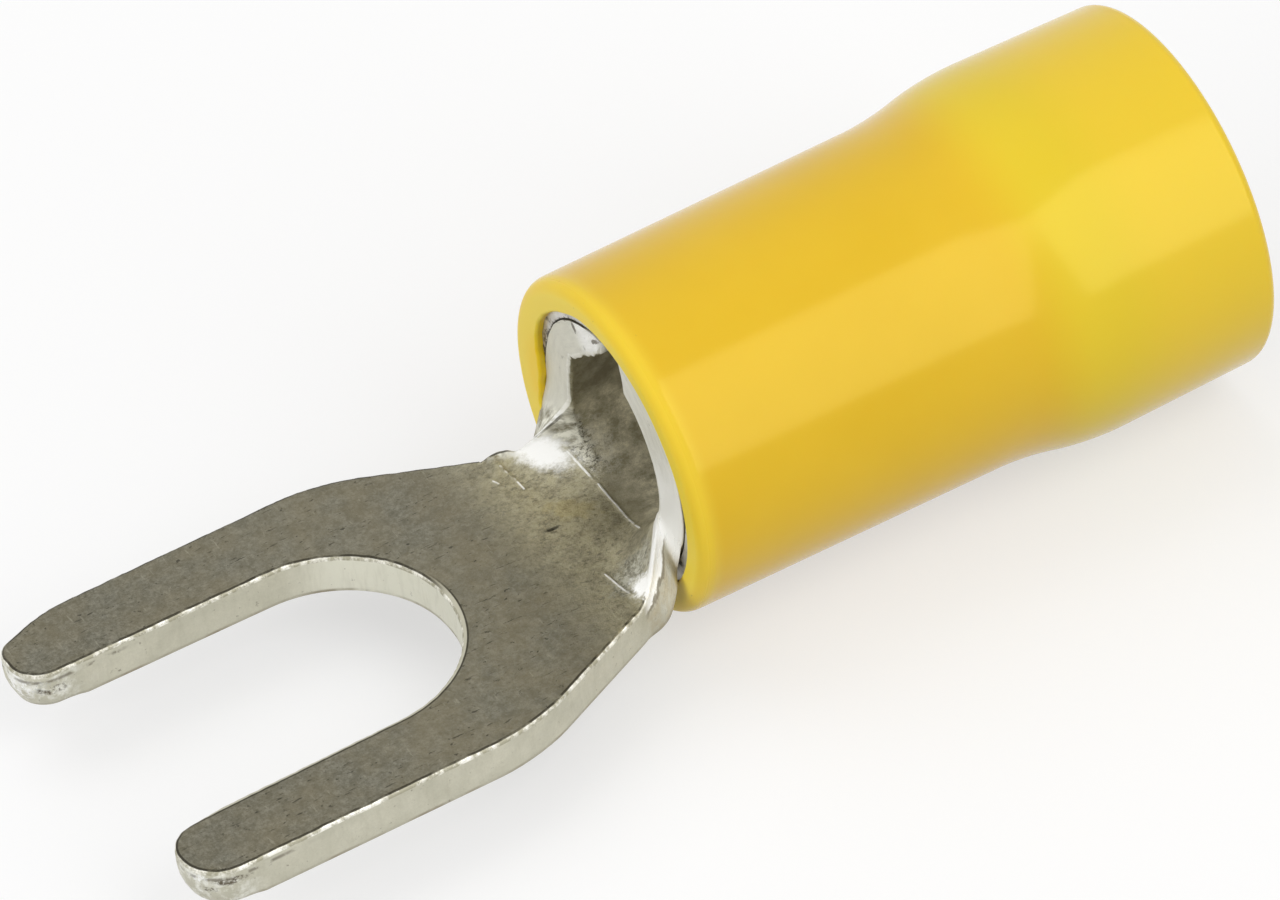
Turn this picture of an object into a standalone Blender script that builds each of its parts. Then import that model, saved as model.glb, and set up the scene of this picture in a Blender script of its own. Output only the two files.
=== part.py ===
"""Insulated fork terminal for a wire of 4 to 6 mm2 and an M5 stud.

Three pieces: a stamped and rolled fork, a thin metal grip sleeve round its barrel,
and the soft insulating sleeve over both. Each is drawn from the stud's centre on the
underside of the tongue: +X runs along the barrel to the wire entry, +Y across, +Z up.
Units are metres.
"""
import math

import bmesh
import bpy
from mathutils import Vector

# Sheet and tongue
SHEET = 0.00095
TOP_ROUNDING = 0.00007
UNDERSIDE_ROUNDING = 0.00002
SLOT_WIDTH = 0.0053
SLOT_FLARE = 0.0002
FORK_WIDTH = 0.00902
PRONG_REACH = 0.0056
TIP_TAPER_RUN = 0.0014
FAR_TIP_TAPER = 0.0005
FAR_TIP_OUTER_RADIUS = 0.00045
FAR_TIP_INNER_RADIUS = 0.00072
NEAR_TIP_TAPER = 0.00016
NEAR_TIP_OUTER_RADIUS = 0.0009
NEAR_TIP_INNER_RADIUS = 0.00068
TAPER_RADIUS = 0.0024
TIP_ROLL_OFF = 0.00016
TIP_ROLL_OFF_HEIGHT = 0.0006
TIP_ROLL_OFF_RUN = 0.0013

# Neck, between the tongue and the barrel
SHOULDER_REACH = 0.0022
SHOULDER_RADIUS = 0.0040
BEND_REACH = 0.0056
BARREL_REACH = 0.0069
NECK_WIDTH = 0.00456
FAR_CORNER_RADIUS = 0.0008
NEAR_CORNER_RADIUS = 0.0003
BEND_POWER = 1.8

# Rolled barrel
BORE = 0.00344
BARREL_LENGTH = 0.0067
WING_CORNER_RADIUS = 0.00015
FAR_WING_LEAN = math.radians(10)
FAR_WING_UPRIGHT = 0.00092
FAR_WING_FOLD = math.radians(42)
FAR_WING_FOLD_RADIUS = 0.0002
FAR_SEAM_SLANT = 0.00096
NEAR_WING_BORE = 0.0047
NEAR_SEAM_SLANT = 0.00075
WING_LIFT = 0.00013
SEAM_LEAN = math.radians(6.3)
SEAM_GAP = 0.0001
GROOVE_COUNT = 3
GROOVE_PITCH = 0.0014
GROOVE_WIDTH = 0.0005
GROOVE_DEPTH = 0.0001
GROOVE_FLOOR_SHARE = 0.5

# Metal grip sleeve and insulating sleeve, one round the other
SLEEVE_CLEARANCE = 0.00005
GRIP_WALL = 0.0002
GRIP_EDGE_SHARE = 0.3
GRIP_FRONT_SETBACK = 0.00025
GRIP_REAR_SETBACK = 0.0008
INSULATION_FRONT = 0.0067
INSULATION_LENGTH = 0.0137
INSULATION_WALL = 0.00064
BODY_DRAFT = 0.00006
BELL_START = 0.0082
BELL_RUN = 0.0015
BELL_STEP = 0.00039
BELL_DRAFT = 0.00008
BELL_RADIUS = 0.0055
FRONT_ROUNDING = 0.00030
REAR_ROUNDING = 0.00022
BORE_ROUNDING = 0.00008

# Fineness
FILLET_SHARE = 0.98
FLAT_RAMP = 0.01
SHARP_ANGLE = math.radians(25)
ARC_STEP = math.radians(18)
ROLL_STEP = math.radians(10)
NECK_STEPS = 9
ROLL_OFF_LEVELS = (0.33, 0.66, 1.0)
TURN_STEPS = 48

# Values that follow from those above
bore_radius = BORE / 2
barrel_radius = bore_radius + SHEET
roll_radius = bore_radius + SHEET / 2
axis_height = barrel_radius
barrel_end = BARREL_REACH + BARREL_LENGTH
pressed_radius = barrel_radius + WING_LIFT
grip_bore = pressed_radius + SLEEVE_CLEARANCE
insulation_bore = grip_bore + GRIP_WALL + SLEEVE_CLEARANCE
insulation_rear = INSULATION_FRONT + INSULATION_LENGTH
bell_front = INSULATION_FRONT + BELL_START
bell_rear = bell_front + BELL_RUN
body_radius = insulation_bore + INSULATION_WALL
bell_bore = insulation_bore + BELL_STEP
bell_radius = bell_bore + INSULATION_WALL

# The blank is cut and bevelled in millimetres, well clear of rounding errors
WORK_SCALE = 1000.0


def clear_scene():
    for old in list(bpy.data.objects):
        bpy.data.objects.remove(old, do_unlink=True)


def material(name, colour, roughness, metallic):
    made = bpy.data.materials.new(name)
    made.use_nodes = True
    shader = made.node_tree.nodes["Principled BSDF"]
    shader.inputs["Base Color"].default_value = (*colour, 1.0)
    shader.inputs["Roughness"].default_value = roughness
    shader.inputs["Metallic"].default_value = metallic
    return made


def rounded_outline(corners):
    """Turn (x, y, radius) corners of a closed outline into points, with arcs at the corners."""
    count = len(corners)
    points = [Vector((x, y)) for x, y, _ in corners]
    halves = []
    cuts = []
    for i, corner in enumerate(points):
        back = (points[i - 1] - corner).normalized()
        ahead = (points[(i + 1) % count] - corner).normalized()
        half = back.angle(ahead) / 2
        halves.append(half)
        cuts.append(corners[i][2] / math.tan(half))
    for i in range(count):
        j = (i + 1) % count
        room = (points[j] - points[i]).length * FILLET_SHARE
        if cuts[i] + cuts[j] > room:
            share = room / (cuts[i] + cuts[j])
            cuts[i] *= share
            cuts[j] *= share
    outline = []
    for i, corner in enumerate(points):
        if cuts[i] == 0:
            outline.append(corner)
            continue
        back = (points[i - 1] - corner).normalized()
        ahead = (points[(i + 1) % count] - corner).normalized()
        centre = corner + (back + ahead).normalized() * (cuts[i] / math.cos(halves[i]))
        spoke = corner + back * cuts[i] - centre
        turn = math.pi - 2 * halves[i]
        if back.cross(ahead) > 0:
            turn = -turn
        steps = max(2, math.ceil(abs(turn) / ARC_STEP))
        for k in range(steps + 1):
            angle = turn * k / steps
            outline.append(centre + Vector((
                spoke.x * math.cos(angle) - spoke.y * math.sin(angle),
                spoke.x * math.sin(angle) + spoke.y * math.cos(angle),
            )))
    return outline


def followed(runs, distance, lift):
    """Follow the barrel's section out from its lowest line, and step inwards by lift.

    Each run is a length and its bend radius at the sheet's middle, or no radius where it is
    straight. The place found is across, above the underside, and the heading there.
    """
    across, height, heading = 0.0, SHEET / 2, 0.0
    for length, radius in runs:
        step = min(distance, length)
        distance -= step
        if radius:
            turned = heading + step / radius
            across += radius * (math.sin(turned) - math.sin(heading))
            height += radius * (math.cos(heading) - math.cos(turned))
            heading = turned
        else:
            across += step * math.cos(heading)
            height += step * math.sin(heading)
        if distance <= 0:
            break
    return across - lift * math.sin(heading), height + lift * math.cos(heading), heading


def far_wing_runs():
    """The far wing: round, then upright, folded over, and flat up to the seam."""
    fold_radius = FAR_WING_FOLD_RADIUS + SHEET / 2
    runs = [
        (roll_radius * (math.pi / 2 + FAR_WING_LEAN), roll_radius),
        (FAR_WING_UPRIGHT, None),
        (fold_radius * FAR_WING_FOLD, fold_radius),
    ]
    across, height, heading = followed(runs, math.inf, -SHEET / 2)
    lean = SEAM_LEAN - SEAM_GAP / 2 / pressed_radius
    off_seam = across * math.cos(lean) + (height - axis_height) * math.sin(lean)
    flat = off_seam / -math.cos(heading + lean)
    return runs + [(flat, None)]


def near_wing_runs():
    """The near wing: round, then a little wider up to the seam."""
    wing_bore = NEAR_WING_BORE / 2
    lean = SEAM_LEAN + SEAM_GAP / 2 / pressed_radius
    off_centre = (wing_bore - bore_radius) * math.cos(lean)
    turn = math.acos(off_centre / (wing_bore + SHEET)) - lean
    wide_radius = wing_bore + SHEET / 2
    return [(roll_radius * math.pi / 2, roll_radius), (wide_radius * turn, wide_radius)]


def wing_lengths():
    """Blank lengths from the centre line to the seam: the far wing, then the near one."""
    far = sum(length for length, _ in far_wing_runs())
    return far, sum(length for length, _ in near_wing_runs())


def blank_outline():
    """The flat blank as the press cuts it: fork, neck and the two wings of the barrel."""
    slot_half = SLOT_WIDTH / 2
    tip_half = slot_half + SLOT_FLARE / 2
    fork_half = FORK_WIDTH / 2
    neck_half = NECK_WIDTH / 2
    far_wing, near_wing = wing_lengths()
    taper_start = TIP_TAPER_RUN - PRONG_REACH
    far_prong = [
        (slot_half, slot_half, slot_half),
        (-PRONG_REACH, tip_half, FAR_TIP_INNER_RADIUS),
        (-PRONG_REACH, fork_half - FAR_TIP_TAPER, FAR_TIP_OUTER_RADIUS),
        (taper_start, fork_half, TAPER_RADIUS),
        (SHOULDER_REACH, fork_half, SHOULDER_RADIUS),
    ]
    barrel = [
        (BARREL_REACH, neck_half, FAR_CORNER_RADIUS),
        (BARREL_REACH, far_wing, WING_CORNER_RADIUS),
        (barrel_end, far_wing, WING_CORNER_RADIUS),
        (barrel_end, -near_wing, WING_CORNER_RADIUS),
        (BARREL_REACH, -near_wing, WING_CORNER_RADIUS),
        (BARREL_REACH, -neck_half, NEAR_CORNER_RADIUS),
    ]
    near_prong = [
        (SHOULDER_REACH, -fork_half, SHOULDER_RADIUS),
        (-PRONG_REACH, -fork_half, NEAR_TIP_OUTER_RADIUS),
        (-PRONG_REACH, -tip_half - NEAR_TIP_TAPER, NEAR_TIP_INNER_RADIUS),
        (taper_start, -tip_half, TAPER_RADIUS),
        (slot_half, -slot_half, slot_half),
    ]
    return rounded_outline(far_prong + barrel + near_prong)


def groove_places():
    """Centres of the barrel's inside grooves along X, evenly about its middle."""
    middle = BARREL_REACH + BARREL_LENGTH / 2
    first = middle - GROOVE_PITCH * (GROOVE_COUNT - 1) / 2
    return [first + GROOVE_PITCH * i for i in range(GROOVE_COUNT)]


def rolled(place):
    """Where a point of the flat blank (along, across, through) lies on the rolled fork."""
    along, across, through = place
    ramp = min(1.0, (along - BEND_REACH) / (BARREL_REACH - BEND_REACH))
    if ramp < FLAT_RAMP:
        return Vector((along, across, through))
    lift = through - SHEET / 2
    if lift > 0:
        lift -= groove_depth(along)
    if ramp < 1:
        runs = [(math.inf, roll_radius / ramp ** BEND_POWER)]
    else:
        runs = far_wing_runs() if across > 0 else near_wing_runs()
    aside, height, _ = followed(runs, abs(across), lift)
    place = Vector((along, math.copysign(aside, across), height))
    return pressed_inside(place) if ramp == 1 else place


def groove_depth(along):
    """Depth of the inside grooves at a place along the barrel."""
    for place in groove_places():
        if abs(along - place) < GROOVE_WIDTH * (1 + GROOVE_FLOOR_SHARE) / 4:
            return GROOVE_DEPTH
    return 0.0


def pressed_inside(place):
    """Keep the wings' outside within the round that the grip sleeve presses them to."""
    from_axis = Vector((0.0, place.y, place.z - axis_height))
    if from_axis.length <= pressed_radius:
        return place
    from_axis *= pressed_radius / from_axis.length
    return Vector((place.x, from_axis.y, axis_height + from_axis.z))


def press_blank():
    """Cut the blank from sheet, round its edges and slant the wings' seam edges."""
    bm = bmesh.new()
    outline = [point * WORK_SCALE for point in blank_outline()]
    sheet_face = bm.faces.new([bm.verts.new((point.x, point.y, 0.0)) for point in outline])
    raised = bmesh.ops.extrude_face_region(bm, geom=[sheet_face])
    top_verts = [item for item in raised["geom"] if isinstance(item, bmesh.types.BMVert)]
    bmesh.ops.translate(bm, verts=top_verts, vec=(0.0, 0.0, SHEET * WORK_SCALE))
    bmesh.ops.recalc_face_normals(bm, faces=bm.faces)
    for height, rounding in ((SHEET, TOP_ROUNDING), (0.0, UNDERSIDE_ROUNDING)):
        level = height * WORK_SCALE
        bmesh.ops.bevel(
            bm,
            geom=[edge for edge in bm.edges if all(abs(v.co.z - level) < 0.001 for v in edge.verts)],
            offset=rounding * WORK_SCALE,
            offset_type="OFFSET",
            segments=1,
            profile=0.5,
            affect="EDGES",
            material=-1,
            clamp_overlap=True,
        )
    roll_off_tips(bm)
    far_wing, near_wing = wing_lengths()
    far_edge = (far_wing - 2 * WING_CORNER_RADIUS) * WORK_SCALE
    near_edge = -(near_wing - 2 * WING_CORNER_RADIUS) * WORK_SCALE
    for vert in bm.verts:
        if vert.co.y > far_edge:
            vert.co.y -= FAR_SEAM_SLANT / SHEET * vert.co.z
        elif vert.co.y < near_edge:
            vert.co.y += NEAR_SEAM_SLANT / SHEET * vert.co.z
    return bm


def roll_off_tips(bm):
    """Draw the tips' lower edges in, as sheet rolls off where the press cuts round an end."""
    run_start = (TIP_ROLL_OFF_RUN - PRONG_REACH) * WORK_SCALE
    for share in ROLL_OFF_LEVELS:
        faces = [face for face in bm.faces if min(v.co.x for v in face.verts) < run_start]
        edges = {edge for face in faces for edge in face.edges}
        verts = {vert for face in faces for vert in face.verts}
        bmesh.ops.bisect_plane(
            bm,
            geom=list(verts) + list(edges) + faces,
            dist=0.0005,
            plane_co=(0.0, 0.0, TIP_ROLL_OFF_HEIGHT * share * WORK_SCALE),
            plane_no=(0.0, 0.0, 1.0),
        )
    prong_middle = (SLOT_WIDTH + FORK_WIDTH) / 4
    for vert in bm.verts:
        place = vert.co / WORK_SCALE
        along = min(1.0, (TIP_ROLL_OFF_RUN - PRONG_REACH - place.x) / TIP_ROLL_OFF_RUN)
        down = 1 - place.z / TIP_ROLL_OFF_HEIGHT
        if along > 0 and down > 0:
            middle = Vector((TIP_ROLL_OFF_RUN - PRONG_REACH, math.copysign(prong_middle, place.y), place.z))
            pull = TIP_ROLL_OFF * down ** 2 * math.sqrt(along)
            vert.co += (middle - place).normalized() * pull * WORK_SCALE


def faces_past(bm, beyond):
    """Faces of the blank that reach past a distance along X, by more than a thousandth."""
    return [face for face in bm.faces if max(v.co.x for v in face.verts) > beyond + 0.001]


def score_across(bm, direction, place, beyond):
    """Score the blank on the plane that stands across a direction, past a distance along X."""
    faces = faces_past(bm, beyond)
    edges = {edge for face in faces for edge in face.edges}
    verts = {vert for face in faces for vert in face.verts}
    bmesh.ops.bisect_plane(
        bm,
        geom=list(verts) + list(edges) + faces,
        dist=0.0005,
        plane_co=direction * place * WORK_SCALE,
        plane_no=direction,
    )


def bend_places(runs):
    """Places along a wing where its section bends, an even number of steps to each run."""
    places = []
    start = 0.0
    for length, radius in runs:
        count = math.ceil(length / (radius or roll_radius) / ROLL_STEP)
        places += [start + length * (i + 1) / count for i in range(count)]
        start += length
    return places[:-1]


def score_blank(bm):
    """Score the neck and wings where they will bend, and across the barrel's grooves."""
    bend_start = BEND_REACH * WORK_SCALE
    neck_step = (BARREL_REACH - BEND_REACH) / NECK_STEPS
    along_places = [BEND_REACH + neck_step * i for i in range(NECK_STEPS + 1)]
    for groove in groove_places():
        for reach in (GROOVE_WIDTH / 2, GROOVE_WIDTH / 2 * GROOVE_FLOOR_SHARE):
            along_places += [groove - reach, groove + reach]
    for place in along_places:
        score_across(bm, Vector((1, 0, 0)), place, bend_start)
    score_across(bm, Vector((0, 1, 0)), 0.0, bend_start)
    for side, runs in ((1, far_wing_runs()), (-1, near_wing_runs())):
        for place in bend_places(runs):
            score_across(bm, Vector((0, 1, 0)), side * place, bend_start)
    many_sided = [face for face in faces_past(bm, bend_start) if len(face.verts) > 4]
    bmesh.ops.triangulate(bm, faces=many_sided)


def build_fork(collection):
    """One sheet of tinned copper: its blank is cut, scored along its bends and rolled."""
    bm = press_blank()
    score_blank(bm)
    for vert in bm.verts:
        vert.co = rolled(vert.co / WORK_SCALE)
    bmesh.ops.recalc_face_normals(bm, faces=bm.faces)
    mesh = bpy.data.meshes.new("fork")
    bm.to_mesh(mesh)
    bm.free()
    mesh.shade_smooth()
    mesh.set_sharp_from_angle(angle=SHARP_ANGLE)
    mesh.materials.append(material("tinned_fork", (0.33, 0.32, 0.28), 0.42, 1.0))
    fork = bpy.data.objects.new("fork", mesh)
    collection.objects.link(fork)
    return fork


def build_turned(name, corners, collection, surface):
    """Turn a closed (along, radius, rounding) outline about the barrel's axis."""
    outline = rounded_outline(corners)
    mesh = bpy.data.meshes.new(name)
    verts = [(p.y, 0.0, p.x) for p in outline]
    edges = [(i, (i + 1) % len(verts)) for i in range(len(verts))]
    mesh.from_pydata(verts, edges, [])
    mesh.materials.append(surface)
    piece = bpy.data.objects.new(name, mesh)
    piece.rotation_euler = (0.0, math.pi / 2, 0.0)
    piece.location = (0.0, 0.0, axis_height)
    screw = piece.modifiers.new("turned", "SCREW")
    screw.axis = "Z"
    screw.angle = 2 * math.pi
    screw.steps = TURN_STEPS
    screw.render_steps = TURN_STEPS
    screw.use_merge_vertices = True
    screw.merge_threshold = 0.000001
    screw.use_smooth_shade = True
    collection.objects.link(piece)
    return piece


def insulation_corners():
    """Section of the soft sleeve: a body over the barrel and a bell where the wire goes in."""
    return [
        (insulation_rear, bell_radius - BELL_DRAFT, REAR_ROUNDING),
        (bell_rear, bell_radius, BELL_RADIUS),
        (bell_front, body_radius + BODY_DRAFT, BELL_RADIUS),
        (INSULATION_FRONT, body_radius, FRONT_ROUNDING),
        (INSULATION_FRONT, insulation_bore, BORE_ROUNDING),
        (bell_front, insulation_bore, BELL_RADIUS),
        (bell_rear, bell_bore, BELL_RADIUS),
        (insulation_rear, bell_bore, BORE_ROUNDING),
    ]


def build_insulating_sleeve(collection):
    """Soft vinyl sleeve over the grip sleeve."""
    yellow = material("yellow_vinyl", (0.78, 0.51, 0.045), 0.34, 0.0)
    return build_turned("insulating_sleeve", insulation_corners(), collection, yellow)


def build_grip_sleeve(collection):
    """Thin metal tube that lines the insulating sleeve and flares with its bell."""
    front = INSULATION_FRONT + GRIP_FRONT_SETBACK
    rear = insulation_rear - GRIP_REAR_SETBACK
    outside = grip_bore + GRIP_WALL
    edge = GRIP_WALL * GRIP_EDGE_SHARE
    corners = [
        (rear, outside + BELL_STEP, edge),
        (bell_rear, outside + BELL_STEP, BELL_RADIUS),
        (bell_front, outside, BELL_RADIUS),
        (front, outside, edge),
        (front, grip_bore, edge),
        (bell_front, grip_bore, BELL_RADIUS),
        (bell_rear, grip_bore + BELL_STEP, BELL_RADIUS),
        (rear, grip_bore + BELL_STEP, edge),
    ]
    tin = material("tinned_sleeve", (0.52, 0.50, 0.48), 0.30, 1.0)
    return build_turned("grip_sleeve", corners, collection, tin)


def stud_place():
    """The stud's centre, with the model's origin at mid-length and under the bell's lowest line."""
    lowest = max(point.y for point in rounded_outline(insulation_corners()))
    return Vector(((PRONG_REACH - insulation_rear) / 2, 0.0, lowest - axis_height))


def main():
    clear_scene()
    collection = bpy.data.collections.new("fork_terminal")
    bpy.context.scene.collection.children.link(collection)
    stud = bpy.data.objects.new("stud_centre", None)
    stud.location = stud_place()
    stud.empty_display_size = PRONG_REACH
    collection.objects.link(stud)
    for build in (build_fork, build_grip_sleeve, build_insulating_sleeve):
        build(collection).parent = stud


main()
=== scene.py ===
"""Insulated fork terminal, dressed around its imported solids.

A tinned copper fork rolled from one sheet, a thin metal grip sleeve round its barrel, and a
soft yellow vinyl sleeve over both. Pieces are drawn in millimetres from the stud's centre on
the tongue's underside, and are then put in the row's place in metres.
"""
import math

import bmesh
import bpy
from mathutils import Matrix, Vector, noise


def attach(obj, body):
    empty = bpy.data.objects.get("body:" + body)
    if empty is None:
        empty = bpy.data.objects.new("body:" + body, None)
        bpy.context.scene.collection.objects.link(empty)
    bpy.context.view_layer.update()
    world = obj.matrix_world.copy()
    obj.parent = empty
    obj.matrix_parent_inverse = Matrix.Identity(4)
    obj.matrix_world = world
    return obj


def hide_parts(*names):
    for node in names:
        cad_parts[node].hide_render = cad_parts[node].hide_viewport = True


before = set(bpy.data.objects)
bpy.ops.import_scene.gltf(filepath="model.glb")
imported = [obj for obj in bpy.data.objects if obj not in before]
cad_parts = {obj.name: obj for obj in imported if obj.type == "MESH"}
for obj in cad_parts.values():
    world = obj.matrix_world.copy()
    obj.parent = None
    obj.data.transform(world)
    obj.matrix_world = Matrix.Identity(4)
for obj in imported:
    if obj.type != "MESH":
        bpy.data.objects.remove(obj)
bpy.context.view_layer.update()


# The fork: one sheet of tinned copper. The press cuts a flat blank with an open slot, a neck
# and two wings, bends the neck up, and rolls the wings into a barrel with an open seam on top.
# The sleeves' assembly has pressed the far side of the barrel in a little.
SHEET = 0.95
SLOT_WIDTH = 5.3
SLOT_FLARE = 0.2
FORK_WIDTH = 9.02
PRONG_REACH = 5.6
TIP_TAPER_RUN = 1.4
FAR_TIP_TAPER = 0.5
FAR_TIP_OUTER_RADIUS = 0.45
FAR_TIP_INNER_RADIUS = 0.72
NEAR_TIP_TAPER = 0.16
NEAR_TIP_OUTER_RADIUS = 0.9
NEAR_TIP_INNER_RADIUS = 0.68
TAPER_RADIUS = 2.4
TIP_ROLL_OFF = 0.16
TIP_ROLL_OFF_HEIGHT = 0.6
TIP_ROLL_OFF_RUN = 1.3
SHOULDER_REACH = 2.2
SHOULDER_RADIUS = 4.0
NECK_WIDTH = 4.56
FAR_CORNER_RADIUS = 0.8
NEAR_CORNER_RADIUS = 0.3
WING_CORNER_RADIUS = 0.15
BEND_REACH = 5.6
BARREL_REACH = 6.9
BEND_POWER = 1.8
BEND_EASING = 0.14
STILL_FLAT = 0.01
FULLY_BENT = 0.9999
BORE_RADIUS = 1.72
BARREL_END = 13.6
FAR_WING_LEAN = math.radians(10)
FAR_WING_UPRIGHT = 0.92
FAR_WING_FOLD = math.radians(42)
FAR_WING_FOLD_RADIUS = 0.2
FAR_SEAM_SLANT = 0.96
NEAR_WING_BORE_RADIUS = 2.35
NEAR_SEAM_SLANT = 0.75
WING_LIFT = 0.13
BARREL_PRESS = (
    (-180, 0.0), (-48, 0.0), (-15, 0.15), (22, 0.14), (34, 0.09), (45, 0.03), (56, 0.0), (180, 0.0),
)
SEAM_LEAN = math.radians(6.3)
SEAM_GAP = 0.1
GROOVE_PLACES = (8.85, 10.25, 11.65)
GROOVE_HALF_WIDTH = 0.25
GROOVE_DEPTH = 0.1
TOP_ROUNDING = 0.08
UNDERSIDE_ROUNDING = 0.03
CUT_SIDE_LOW = 0.16
CUT_SIDE_HIGH = SHEET - 0.14

barrel_radius = BORE_RADIUS + SHEET
roll_radius = BORE_RADIUS + SHEET / 2
pressed_radius = barrel_radius + WING_LIFT
stud_centre = Vector((-7.4, 0.0, 1.44693))


CORNER_ROOM = 0.98
SCORE_SLACK = 0.002


def flat_outline(corners, arc_step):
    """A flat face with (x, y, radius) corners, each rounded by a bevel of its vertex."""
    bm = bmesh.new()
    verts = [bm.verts.new((x, y, 0.0)) for x, y, _ in corners]
    bm.faces.new(verts)
    count = len(corners)
    turns = []
    cuts = []
    for i, vert in enumerate(verts):
        back = verts[i - 1].co - vert.co
        ahead = verts[(i + 1) % count].co - vert.co
        inside = back.angle(ahead)
        turns.append(math.pi - inside)
        cuts.append(corners[i][2] / math.tan(inside / 2))
    for i in range(count):
        j = (i + 1) % count
        room = (verts[j].co - verts[i].co).length * CORNER_ROOM
        if cuts[i] + cuts[j] > room:
            share = room / (cuts[i] + cuts[j])
            cuts[i] *= share
            cuts[j] *= share
    for vert, turn, cut in zip(verts, turns, cuts):
        if cut > 0:
            bmesh.ops.bevel(bm, geom=[vert], offset=cut, offset_type="OFFSET",
                            segments=max(2, math.ceil(turn / arc_step)), profile=0.5,
                            affect="VERTICES", material=-1, clamp_overlap=False)
    return bm


def score(bm, faces, axis, places):
    """Score faces across an axis at rising places, and give every face that results."""
    direction = Vector((0, 0, 0))
    direction[axis] = 1
    finished = []
    waiting = list(faces)
    for place in places:
        across = []
        beyond = []
        for face in waiting:
            reach = [vert.co[axis] for vert in face.verts]
            if max(reach) <= place + SCORE_SLACK:
                finished.append(face)
            elif min(reach) >= place - SCORE_SLACK:
                beyond.append(face)
            else:
                across.append(face)
        edges = {edge for face in across for edge in face.edges}
        verts = {vert for face in across for vert in face.verts}
        cut = bmesh.ops.bisect_plane(bm, geom=list(verts) + list(edges) + across, dist=0.0005,
                                     plane_co=direction * place, plane_no=direction)
        waiting = beyond + [item for item in cut["geom"] if isinstance(item, bmesh.types.BMFace)]
    return finished + waiting


def steps(start, end, size):
    """Places from start to end, about one size apart."""
    count = max(1, round((end - start) / size))
    return [start + (end - start) * i / count for i in range(count + 1)]


def followed(runs, distance, lift):
    """Follow the barrel's section out from its lowest line, and step inwards by lift.

    Each run is a length and its bend radius at the sheet's middle, or no radius where it is
    straight. The place found is across, above the underside, and the heading there.
    """
    across, height, heading = 0.0, SHEET / 2, 0.0
    for length, radius in runs:
        step = min(distance, length)
        distance -= step
        if radius:
            turned = heading + step / radius
            across += radius * (math.sin(turned) - math.sin(heading))
            height += radius * (math.cos(heading) - math.cos(turned))
            heading = turned
        else:
            across += step * math.cos(heading)
            height += step * math.sin(heading)
        if distance <= 0:
            break
    return across - lift * math.sin(heading), height + lift * math.cos(heading), heading


def far_wing_runs():
    """The far wing: round, then upright, folded over, and flat up to the seam."""
    fold_radius = FAR_WING_FOLD_RADIUS + SHEET / 2
    runs = [(roll_radius * (math.pi / 2 + FAR_WING_LEAN), roll_radius), (FAR_WING_UPRIGHT, None),
            (fold_radius * FAR_WING_FOLD, fold_radius)]
    across, height, heading = followed(runs, math.inf, -SHEET / 2)
    lean = SEAM_LEAN - SEAM_GAP / 2 / pressed_radius
    off_seam = across * math.cos(lean) + (height - barrel_radius) * math.sin(lean)
    return runs + [(off_seam / -math.cos(heading + lean), None)]


def near_wing_runs():
    """The near wing: round, then a little wider up to the seam."""
    lean = SEAM_LEAN + SEAM_GAP / 2 / pressed_radius
    off_centre = (NEAR_WING_BORE_RADIUS - BORE_RADIUS) * math.cos(lean)
    turn = math.acos(off_centre / (NEAR_WING_BORE_RADIUS + SHEET)) - lean
    wide_radius = NEAR_WING_BORE_RADIUS + SHEET / 2
    return [(roll_radius * math.pi / 2, roll_radius), (wide_radius * turn, wide_radius)]


FAR_RUNS = far_wing_runs()
NEAR_RUNS = near_wing_runs()
far_wing = sum(length for length, _ in FAR_RUNS)
near_wing = sum(length for length, _ in NEAR_RUNS)


def blank_corners():
    """Corners of the flat blank: the fork's two prongs, the neck and the barrel's two wings."""
    slot_half = SLOT_WIDTH / 2
    tip_half = slot_half + SLOT_FLARE / 2
    fork_half = FORK_WIDTH / 2
    taper_start = TIP_TAPER_RUN - PRONG_REACH
    far_prong = [
        (slot_half, slot_half, slot_half),
        (-PRONG_REACH, tip_half, FAR_TIP_INNER_RADIUS),
        (-PRONG_REACH, fork_half - FAR_TIP_TAPER, FAR_TIP_OUTER_RADIUS),
        (taper_start, fork_half, TAPER_RADIUS),
        (SHOULDER_REACH, fork_half, SHOULDER_RADIUS),
    ]
    barrel = [
        (BARREL_REACH, NECK_WIDTH / 2, FAR_CORNER_RADIUS),
        (BARREL_REACH, far_wing, WING_CORNER_RADIUS),
        (BARREL_END, far_wing, WING_CORNER_RADIUS),
        (BARREL_END, -near_wing, WING_CORNER_RADIUS),
        (BARREL_REACH, -near_wing, WING_CORNER_RADIUS),
        (BARREL_REACH, -NECK_WIDTH / 2, NEAR_CORNER_RADIUS),
    ]
    near_prong = [
        (SHOULDER_REACH, -fork_half, SHOULDER_RADIUS),
        (-PRONG_REACH, -fork_half, NEAR_TIP_OUTER_RADIUS),
        (-PRONG_REACH, -tip_half - NEAR_TIP_TAPER, NEAR_TIP_INNER_RADIUS),
        (taper_start, -tip_half, TAPER_RADIUS),
        (slot_half, -slot_half, slot_half),
    ]
    return far_prong + barrel + near_prong


def inside_neck_edge(place):
    """Distance in from the neck's slanting edge, on either side of the blank."""
    slant = (FORK_WIDTH - NECK_WIDTH) / 2 / (BARREL_REACH - SHOULDER_REACH)
    edge = NECK_WIDTH / 2 + slant * (BARREL_REACH - place.x)
    return (edge - abs(place.y)) / math.hypot(1, slant)


def smooth_step(low, high, value):
    """0 below low, 1 above high, and a smooth rise between them."""
    share = min(1.0, max(0.0, (value - low) / (high - low)))
    return share * share * (3 - 2 * share)


def swell(rise, fall, value):
    """1 between a rise and a fall, each a pair of places, and 0 outside them."""
    return smooth_step(*rise, value) * (1 - smooth_step(*fall, value))


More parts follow.
